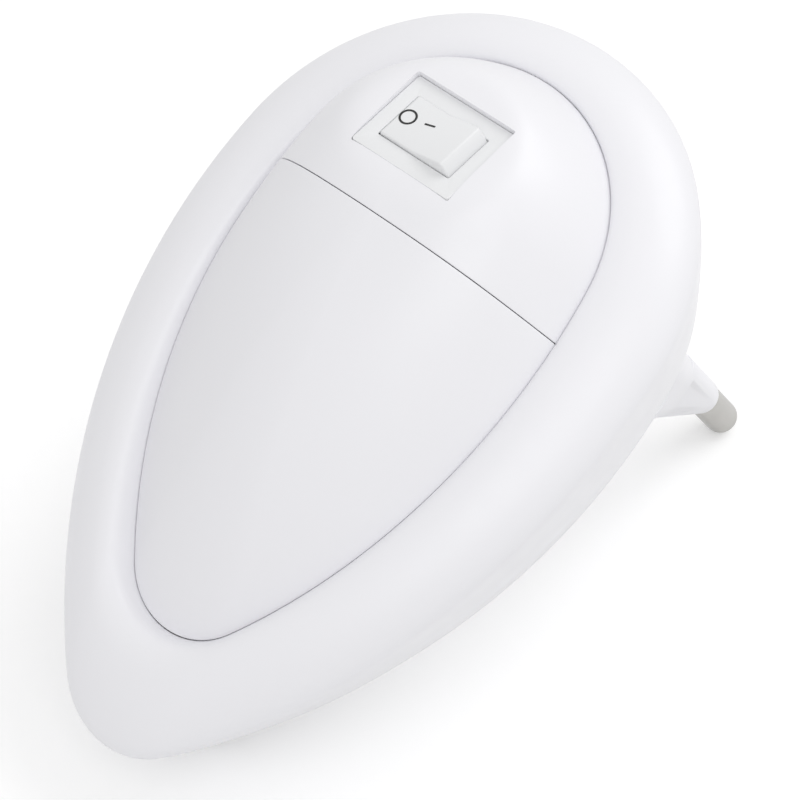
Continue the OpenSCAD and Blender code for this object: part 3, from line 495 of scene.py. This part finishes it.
def neck_ring(k, inset, y):
    """A ring of the neck between its root (k = 0) and its end (k = 1)."""
    return ring(box_outline(mix(NECK_ROOT, NECK_END, k), inset), y)


def through(rings, n=5):
    """More rings on a smooth curve through the given ones."""
    out = []
    for i in range(len(rings) - 1):
        p0, p1, p2, p3 = rings[max(i - 1, 0)], rings[i], rings[i + 1], rings[min(i + 2, len(rings) - 1)]
        for t in np.arange(n) / n:
            out.append(0.5 * (2 * p1 + (p2 - p0) * t + (2 * p0 - 5 * p1 + 4 * p2 - p3) * t * t
                              + (3 * p1 - p0 - 3 * p2 + p3) * t ** 3))
    return out + [rings[-1]]


def cover_skin():
    """The cover with its tongue and the neck as one closed skin, from the inside over the rim to the neck."""
    edge, end_round = 0.15, 0.6
    tongue_y, tongue_in = REAR_Y - TONGUE, WALL_TUCK + RIM
    outside = [cover_ring(a, 0, 0) for a in ROUND_STEPS]
    outside += [neck_ring(k, 0, -NECK_LEN * y) for k, y in ((0.04, 0.93), (0.2, 0.8), (0.6, 0.4))]
    smooth = through(outside + [neck_ring(1, 0, -end_round)])
    smooth[0] = ring(body_egg(WALL_TUCK), REAR_Y + edge)
    rings = [cover_ring(a, WALL + RIM * (1 - a), WALL) for a in ROUND_STEPS[::-1]]
    rings += [ring(body_egg(tongue_in + WALL), tongue_y), ring(body_egg(tongue_in), tongue_y),
              ring(body_egg(tongue_in), REAR_Y), ring(body_egg(WALL_TUCK + edge), REAR_Y)]
    rings += smooth
    rings += [neck_ring(1, end_round * (1 - cos(radians(a))), end_round * (sin(radians(a)) - 1))
              for a in (22, 45, 67, 90)]
    inner_end = np.array((0, mix(REAR_Y, -NECK_LEN, ROUND_STEPS[-1]) - WALL, NECK_ROOT[3]))
    return skin("rear_cover_shell", rings, inner_end, np.array((0, 0, NECK_END[3])))


def cover_inside():
    """A filled cover a little inside the outer skin, which clips what stands in it."""
    inset, front, rear = 0.4, BOSS_REAR_Y - 1, -NECK_LEN * 0.95
    rings = [ring(body_egg(WALL_TUCK + inset), front)] + [cover_ring(a, inset, inset) for a in ROUND_STEPS]
    return skin("cover_inside", rings + [neck_ring(0.04, inset, rear)],
                np.array((0, front, NECK_ROOT[3])), np.array((0, rear, NECK_ROOT[3])))


def pin_root(side):
    """The tapered root under one sleeve, as the hull of circles: how far down, how far along, radius."""
    ends = [(0, -1.4, ROOT_R), (0, -0.4, ROOT_R), (ROOT_DROP, -1.4, ROOT_R), (ROOT_DROP, -0.4, ROOT_R),
            (0, ROOT_LEN - 0.5, ROOT_R), (0, ROOT_LEN - 0.15, ROOT_R - 0.08), (0, ROOT_LEN, ROOT_R - 0.25)]
    points = [at_pin(side) @ Vector((x, y + down, z)) for down, z, r in ends for x, y in circle(r, 96)]
    return hull("pin_root", points)


cover = cover_skin()
for x, z in SCREW_AT:
    post = rod("post", x, z, BOSS_REAR_Y + SEAT, 0, POST_D)
    boolean(cover, "UNION", boolean(cover_inside(), "INTERSECT", post))
for x, z in SCREW_AT:
    boolean(cover, "DIFFERENCE", rod("counterbore", x, z, HEAD_SEAT_Y, 1, COUNTERBORE_D),
            rod("clearance", x, z, BOSS_REAR_Y - 1, HEAD_SEAT_Y + 0.01, CLEARANCE_D, 32))
for side in (-1, 1):
    boolean(cover, "UNION", pin_root(side))
    boolean(cover, "DIFFERENCE",
            cylinder("sleeve_hole", SLEEVE_D + SLEEVE_PLAY, -7, ROOT_LEN + 1, at_pin(side), 64))
finished(cover, "base", "white_shell", "rear_cover", edge=0.12, angle=42)

# ------------------------------ switch
housing = boolean(switch_block("switch_bezel", BEZEL, -BEZEL_T, 0, 0.35), "UNION",
                  switch_block("housing", HOUSING, -HOUSING_DEPTH, -BEZEL_T + 0.2))
mouth = (2 * sqrt(ROCKER_R ** 2 - (PIVOT_Z + MOUTH_T) ** 2) + MOUTH_PLAY, WELL[1])
boolean(housing, "DIFFERENCE", switch_block("well", WELL, FLOOR_T - HOUSING_DEPTH, -MOUTH_T),
        switch_block("mouth", mouth, -MOUTH_T - 0.1, 1))
finished(housing, "base", "white_switch", "switch_housing", edge=0.1, segments=3)


def rocker_profile():
    """Two facets that meet in a shallow V, on a round body."""
    half = radians(ROCKER_SWING / 2)
    facet = (CREST_UP - PIVOT_Z) / cos(half)
    meet = min(np.linspace(0, radians(60), 400),
               key=lambda a: abs(ROCKER_R * sin(a) - facet - ROCKER_R * cos(a) * tan(half)))
    angles = np.linspace(asin(ROCKER_UNDER / ROCKER_R), meet, 14)
    right = [(ROCKER_R * cos(a), ROCKER_R * sin(a)) for a in angles]
    return right + [(0, facet)] + [(-x, z) for x, z in right[::-1]]


ROCKER_AXLE = ROCKER @ Matrix.Rotation(radians(-90), 4, "X")
rocker = prism("rocker_body", [(x, -z) for x, z in rocker_profile()],
               -ROCKER_W / 2, ROCKER_W / 2, ROCKER_AXLE)
boolean(rocker, "UNION", cylinder("barrel", BARREL_D, -BARREL_LEN, -1, ROCKER),
        cylinder("studs", STUD_D, -HOUSING[1] / 2, HOUSING[1] / 2, ROCKER_AXLE, 32))
boolean(rocker, "DIFFERENCE", cylinder("bore", BARREL_BORE, -BARREL_LEN - 1, BORE_TOP, ROCKER))
finished(rocker, "rocker", "white_switch", "rocker", edge=0.2, segments=3, angle=30)

# The marks lie on the half that is level at rest, and stand a little proud of it
ON_FACET = SWITCH @ Matrix.Translation((0, 0, CREST_UP))
MARK_DEPTH, MARK_PROUD = 0.05, 0.015
OFF_MARK_R, OFF_HOLE_R, OFF_MARK_AT = 1, 0.76, (-3.59, 0.15, 0)
ON_MARK, ON_MARK_R, ON_MARK_AT, ON_MARK_TURN = (1.2, 0.23), 0.05, (-1, 0.67, 0), 17


def mark(name, outline, place, hole=None):
    """A mark on the rocker, printed as a thin black solid."""
    obj = prism(name, outline, -MARK_DEPTH, MARK_PROUD, place)
    if hole:
        boolean(obj, "DIFFERENCE", prism("hole", hole, -1, 1, place))
    return finished(obj, "rocker", "black_mark")


mark("off_mark", circle(OFF_MARK_R), ON_FACET @ Matrix.Translation(OFF_MARK_AT), circle(OFF_HOLE_R))
mark("on_mark", round_rect(*ON_MARK, ON_MARK_R),
     ON_FACET @ Matrix.Translation(ON_MARK_AT) @ Matrix.Rotation(radians(ON_MARK_TURN), 4, "Z"))

# ------------------------------ pins with their sleeves
for side, name in ((-1, "left"), (1, "right")):
    core_r, pin_r, start, edge = CORE_D / 2, PIN_D / 2, SLEEVE_LEN + 0.05, 0.1
    profile = [(0, PIN_END), (core_r, PIN_END), (core_r, start), (pin_r - edge, start), (pin_r, start + edge)]
    profile += [(pin_r - PIN_TIP_R * (1 - cos(radians(a))), PIN_LEN - PIN_TIP_R * (1 - sin(radians(a))))
                for a in range(0, 91, 6)] + [(0, PIN_LEN)]
    pin = lathe(f"contact_pin_{name}", profile, at_pin(side))
    finished(pin, "base", "nickel_pins", f"pin_{name}", angle=30)


# ------------------------------ materials
NOISE_SPAN, GLOSS_SWING, BUMP_STRENGTH, COAT_ROUGH = (0.3, 0.7), 0.15, 0.5, 0.15
GLOW_COLOUR, GLOW_DEPTH = (1, 0.9, 0.8), 0.002


def nodes_of(name):
    material = bpy.data.materials.new(name)
    material.use_nodes = True
    tree = material.node_tree
    return material, tree, tree.nodes["Principled BSDF"]


def noise(tree, scale, detail, stretch=(1, 1, 1)):
    """Noise in the object's own coordinates, in metres, drawn out along an axis by stretch."""
    coords = tree.nodes.new("ShaderNodeTexCoord")
    mapping = tree.nodes.new("ShaderNodeMapping")
    mapping.inputs["Scale"].default_value = stretch
    texture = tree.nodes.new("ShaderNodeTexNoise")
    texture.inputs["Scale"].default_value = scale
    texture.inputs["Detail"].default_value = detail
    tree.links.new(coords.outputs["Object"], mapping.inputs["Vector"])
    tree.links.new(mapping.outputs["Vector"], texture.inputs["Vector"])
    return texture.outputs["Fac"]


def ranged(tree, value, low, high):
    """Spreads a noise's middle range over low to high."""
    node = tree.nodes.new("ShaderNodeMapRange")
    node.inputs["From Min"].default_value, node.inputs["From Max"].default_value = NOISE_SPAN
    node.inputs["To Min"].default_value, node.inputs["To Max"].default_value = low, high
    tree.links.new(value, node.inputs["Value"])
    return node.outputs["Result"]


def finish_of(name, colour, rough, vary=0.03, grain=900, grain_depth=0.004, cloud=45, metallic=0.0,
              stretch=(1, 1, 1), subsurface=0.0, coat=0.0):
    """A moulded or drawn surface: cloudy colour, uneven gloss and a fine grain, its depth in millimetres."""
    material, tree, shader = nodes_of(name)
    shader.inputs["Metallic"].default_value = metallic
    shader.inputs["Coat Weight"].default_value = coat
    shader.inputs["Coat Roughness"].default_value = COAT_ROUGH
    if subsurface:
        shader.inputs["Subsurface Weight"].default_value = subsurface
        shader.inputs["Subsurface Radius"].default_value = GLOW_COLOUR
        shader.inputs["Subsurface Scale"].default_value = GLOW_DEPTH
    tone = tree.nodes.new("ShaderNodeMix")
    tone.data_type = "RGBA"
    tone.inputs["A"].default_value = (*[c * (1 - vary) for c in colour], 1)
    tone.inputs["B"].default_value = (*[min(c * (1 + vary * 0.5), 1) for c in colour], 1)
    tree.links.new(noise(tree, cloud, 3), tone.inputs["Factor"])
    tree.links.new(tone.outputs["Result"], shader.inputs["Base Color"])
    fine = noise(tree, grain, 4, stretch)
    patches = noise(tree, grain / 5, 3, stretch)
    gloss = ranged(tree, patches, rough * (1 - GLOSS_SWING), rough * (1 + GLOSS_SWING))
    tree.links.new(gloss, shader.inputs["Roughness"])
    bump = tree.nodes.new("ShaderNodeBump")
    bump.inputs["Strength"].default_value = BUMP_STRENGTH
    bump.inputs["Distance"].default_value = grain_depth * MM
    tree.links.new(fine, bump.inputs["Height"])
    tree.links.new(bump.outputs["Normal"], shader.inputs["Normal"])
    return material


FINISHES = {
    "white_shell": dict(colour=(0.875, 0.872, 0.9), rough=0.36, vary=0.012, grain=1400),
    "milky_lens": dict(colour=(0.875, 0.872, 0.9), rough=0.4, vary=0.015, grain=700),
    "white_insulation": dict(colour=(0.85, 0.85, 0.86), rough=0.42, vary=0.02, grain=1200),
    "white_switch": dict(colour=(0.835, 0.84, 0.85), rough=0.34, vary=0.012, grain=1600),
    "nickel_pins": dict(colour=(0.5, 0.49, 0.47), rough=0.34, vary=0.1, grain=2600, metallic=1.0,
                        stretch=(1, 0.06, 1), grain_depth=0.01, cloud=300),
    "zinc_screws": dict(colour=(0.56, 0.57, 0.58), rough=0.35, vary=0.08, grain=2000, metallic=1.0,
                        grain_depth=0.01),
    "spring_steel": dict(colour=(0.45, 0.45, 0.47), rough=0.3, vary=0.06, grain=2400, metallic=1.0),
    "contact_brass": dict(colour=(0.68, 0.5, 0.24), rough=0.33, vary=0.1, grain=1800, metallic=1.0),
    "contact_silver": dict(colour=(0.72, 0.72, 0.71), rough=0.28, vary=0.05, grain=2200, metallic=1.0),
    "green_board": dict(colour=(0.03, 0.2, 0.08), rough=0.4, vary=0.15, grain=1500, coat=0.3, cloud=150),
    "led_body": dict(colour=(0.85, 0.82, 0.68), rough=0.15, vary=0.05, grain=500, coat=0.5, subsurface=0.5),
    "tinned_leads": dict(colour=(0.6, 0.6, 0.6), rough=0.3, vary=0.08, grain=3000, metallic=1.0),
    "red_capacitor": dict(colour=(0.4, 0.05, 0.03), rough=0.35, vary=0.12, grain=800, coat=0.3,
                          grain_depth=0.02),
    "dark_capacitor": dict(colour=(0.03, 0.03, 0.035), rough=0.38, vary=0.2, grain=1400),
    "tan_resistor": dict(colour=(0.52, 0.37, 0.2), rough=0.4, vary=0.1, grain=1200, grain_depth=0.01),
    "blue_resistor": dict(colour=(0.12, 0.28, 0.38), rough=0.4, vary=0.1, grain=1200, grain_depth=0.01),
    "brown_wire": dict(colour=(0.13, 0.05, 0.025), rough=0.45, vary=0.12, grain=1500),
    "blue_wire": dict(colour=(0.03, 0.1, 0.35), rough=0.45, vary=0.12, grain=1500),
    "solder": dict(colour=(0.6, 0.6, 0.6), rough=0.3, vary=0.1, grain=900, metallic=1.0, grain_depth=0.02),
    "black_mark": dict(colour=(0.012, 0.012, 0.012), rough=0.5, vary=0.2, grain=2500),
}
MATERIALS = {name: finish_of(name, **figures) for name, figures in FINISHES.items()}

# Every mesh gets its slot's material: the record says a CAD node's slot, and finished() a new piece's
SLOT_OF = {s["node"]: s["material_slot"] for s in frame["record"]["subparts"]}
for obj in list(bpy.context.scene.objects):
    if obj.type == "MESH":
        slot = SLOT_OF.get(obj.get("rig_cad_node"), obj.get("finish"))
        obj.data.materials.clear()
        obj.data.materials.append(MATERIALS[slot])

# ------------------------------ the table: through the pin tips and the rim's end
TABLE_HALF, TABLE_GAP = 0.4, 0.2 * MM  # in metres
TABLE_GREY, TABLE_ROUGH, TABLE_LIFT = 0.8, 0.9, 0.285
FADE = (0.1, 0.17)  # metres from the table's middle


def side_points(*names):
    """The corners of CAD nodes as (y, z)."""
    return np.concatenate([[v.co[:] for v in frame["nodes"][n].data.vertices] for n in names])[:, 1:]


def support(points, a):
    """How far up the normal of a plane, tilted by the angle a, the lowest of the points lies."""
    return float((points @ (-sin(a), cos(a))).min())


# The table's tilt is found by halving, as the one at which pins and body both touch it
PINS, BODY = side_points("pin_left", "pin_right"), side_points("front_frame", "rear_cover")
low, high = radians(30), radians(80)
for _ in range(50):
    middle = (low + high) / 2
    if support(PINS, middle) > support(BODY, middle):
        low = middle
    else:
        high = middle
NORMAL = Vector((0, -sin(low), cos(low)))
LEVEL = support(PINS, low) - TABLE_GAP
floor_mesh = bpy.data.meshes.new("table")
floor_mesh.from_pydata([(x * TABLE_HALF, y * TABLE_HALF, 0) for x, y in ((-1, -1), (1, -1), (1, 1), (-1, 1))],
                       [], [(0, 1, 2, 3)])
floor = new_object("table", floor_mesh)
floor.matrix_world = (Matrix.Translation(NORMAL * LEVEL)
                      @ Vector((0, 0, 1)).rotation_difference(NORMAL).to_matrix().to_4x4())


def seen_directly(tree):
    """1 for camera, glossy and transmission rays, and 0 for the light that things throw on each other."""
    path, total = tree.nodes.new("ShaderNodeLightPath"), None
    for ray in ("Is Camera Ray", "Is Glossy Ray", "Is Transmission Ray"):
        if total is None:
            total = path.outputs[ray]
            continue
        add = tree.nodes.new("ShaderNodeMath")
        add.operation, add.use_clamp = "ADD", True
        tree.links.new(total, add.inputs[0])
        tree.links.new(path.outputs[ray], add.inputs[1])
        total = add.outputs[0]
    return total


# The table is seen and shades from its upper side only, so that the back of the object can be looked at, and
# it fades into the white round it. A glow for direct sight only lifts it to the photograph's white
material, tree, shader = nodes_of("table")
shader.inputs["Base Color"].default_value = (TABLE_GREY, TABLE_GREY, TABLE_GREY, 1)
shader.inputs["Roughness"].default_value = TABLE_ROUGH
shader.inputs["Specular IOR Level"].default_value = 0.0
glow, clear, lit, choose, geometry, coords, far, fade, lift, hide = (
    tree.nodes.new("ShaderNode" + kind) for kind in (
        "Emission", "BsdfTransparent", "AddShader", "MixShader", "NewGeometry", "TexCoord", "VectorMath",
        "MapRange", "Math", "Math"))
far.operation, lift.operation, hide.operation = "LENGTH", "MULTIPLY", "MAXIMUM"
lift.inputs[1].default_value = TABLE_LIFT
fade.interpolation_type = "SMOOTHSTEP"
fade.inputs["From Min"].default_value, fade.inputs["From Max"].default_value = FADE
for source, target in (
        (seen_directly(tree), lift.inputs[0]), (lift.outputs[0], glow.inputs["Strength"]),
        (shader.outputs[0], lit.inputs[0]), (glow.outputs[0], lit.inputs[1]),
        (coords.outputs["Object"], far.inputs[0]), (far.outputs["Value"], fade.inputs["Value"]),
        (fade.outputs["Result"], hide.inputs[0]), (geometry.outputs["Backfacing"], hide.inputs[1]),
        (hide.outputs[0], choose.inputs[0]), (lit.outputs[0], choose.inputs[1]),
        (clear.outputs[0], choose.inputs[2]),
        (choose.outputs[0], tree.nodes["Material Output"].inputs["Surface"])):
    tree.links.new(source, target)
floor.data.materials.append(material)

# ------------------------------ world, light and camera
# The photograph's view: the picture's axes, the camera's place in metres and its lens in millimetres
RIGHT = Vector((0.71837, 0.37900, 0.58335))
DOWN = Vector((0.49841, 0.30460, -0.81167))
FORWARD = Vector((-0.48531, 0.87383, 0.02991))
CAMERA_AT, LENS, SENSOR = Vector((0.18305, -0.36263, -0.03324)), 157.5, 36
LAMP_TARGET, LAMP_DISTANCE, LAMP_SIZE, KEY_POWER, FILL_POWER = Vector((0, -0.040, -0.024)), 1.2, 1, 4.1, 3.2
AMBIENT = 0.69

# Seen directly the world is white, but its light on things is weaker
world = bpy.context.scene.world or bpy.data.worlds.new("world")
bpy.context.scene.world = world
world.use_nodes = True
tree = world.node_tree
tree.nodes.clear()
ambient, white = (tree.nodes.new("ShaderNodeBackground") for _ in range(2))
for background, strength in ((ambient, AMBIENT), (white, 1)):
    background.inputs["Color"].default_value = (1, 1, 1, 1)
    background.inputs["Strength"].default_value = strength
pick, out = tree.nodes.new("ShaderNodeMixShader"), tree.nodes.new("ShaderNodeOutputWorld")
tree.links.new(seen_directly(tree), pick.inputs[0])
tree.links.new(ambient.outputs[0], pick.inputs[1])
tree.links.new(white.outputs[0], pick.inputs[2])
tree.links.new(pick.outputs[0], out.inputs["Surface"])


def lamp(name, direction, power):
    """A round lamp that stands in a direction from the object and shines on it."""
    data = bpy.data.lights.new(name, "AREA")
    data.shape, data.size, data.energy = "DISK", LAMP_SIZE, power
    direction = direction.normalized()
    new_object(name, data).matrix_world = (Matrix.Translation(LAMP_TARGET + direction * LAMP_DISTANCE)
                                           @ direction.to_track_quat("Z", "Y").to_matrix().to_4x4())


# The key stands above the table on the right, and the fill by the camera
away = NORMAL.cross(RIGHT).normalized()
lamp("key", NORMAL * 0.8 + RIGHT * 0.62 + away * 0.25, KEY_POWER)
lamp("fill", -FORWARD, FILL_POWER)

camera = bpy.data.cameras.new("camera")
camera.lens, camera.sensor_width, camera.sensor_fit = LENS, SENSOR, "HORIZONTAL"
camera.clip_start, camera.clip_end = 0.01, 20
view = new_object("camera", camera)
place = Matrix((RIGHT, -DOWN, -FORWARD)).transposed().to_4x4()
place.translation = CAMERA_AT
view.matrix_world = place
bpy.context.scene.camera = view
bpy.context.scene.view_settings.view_transform = "Standard"
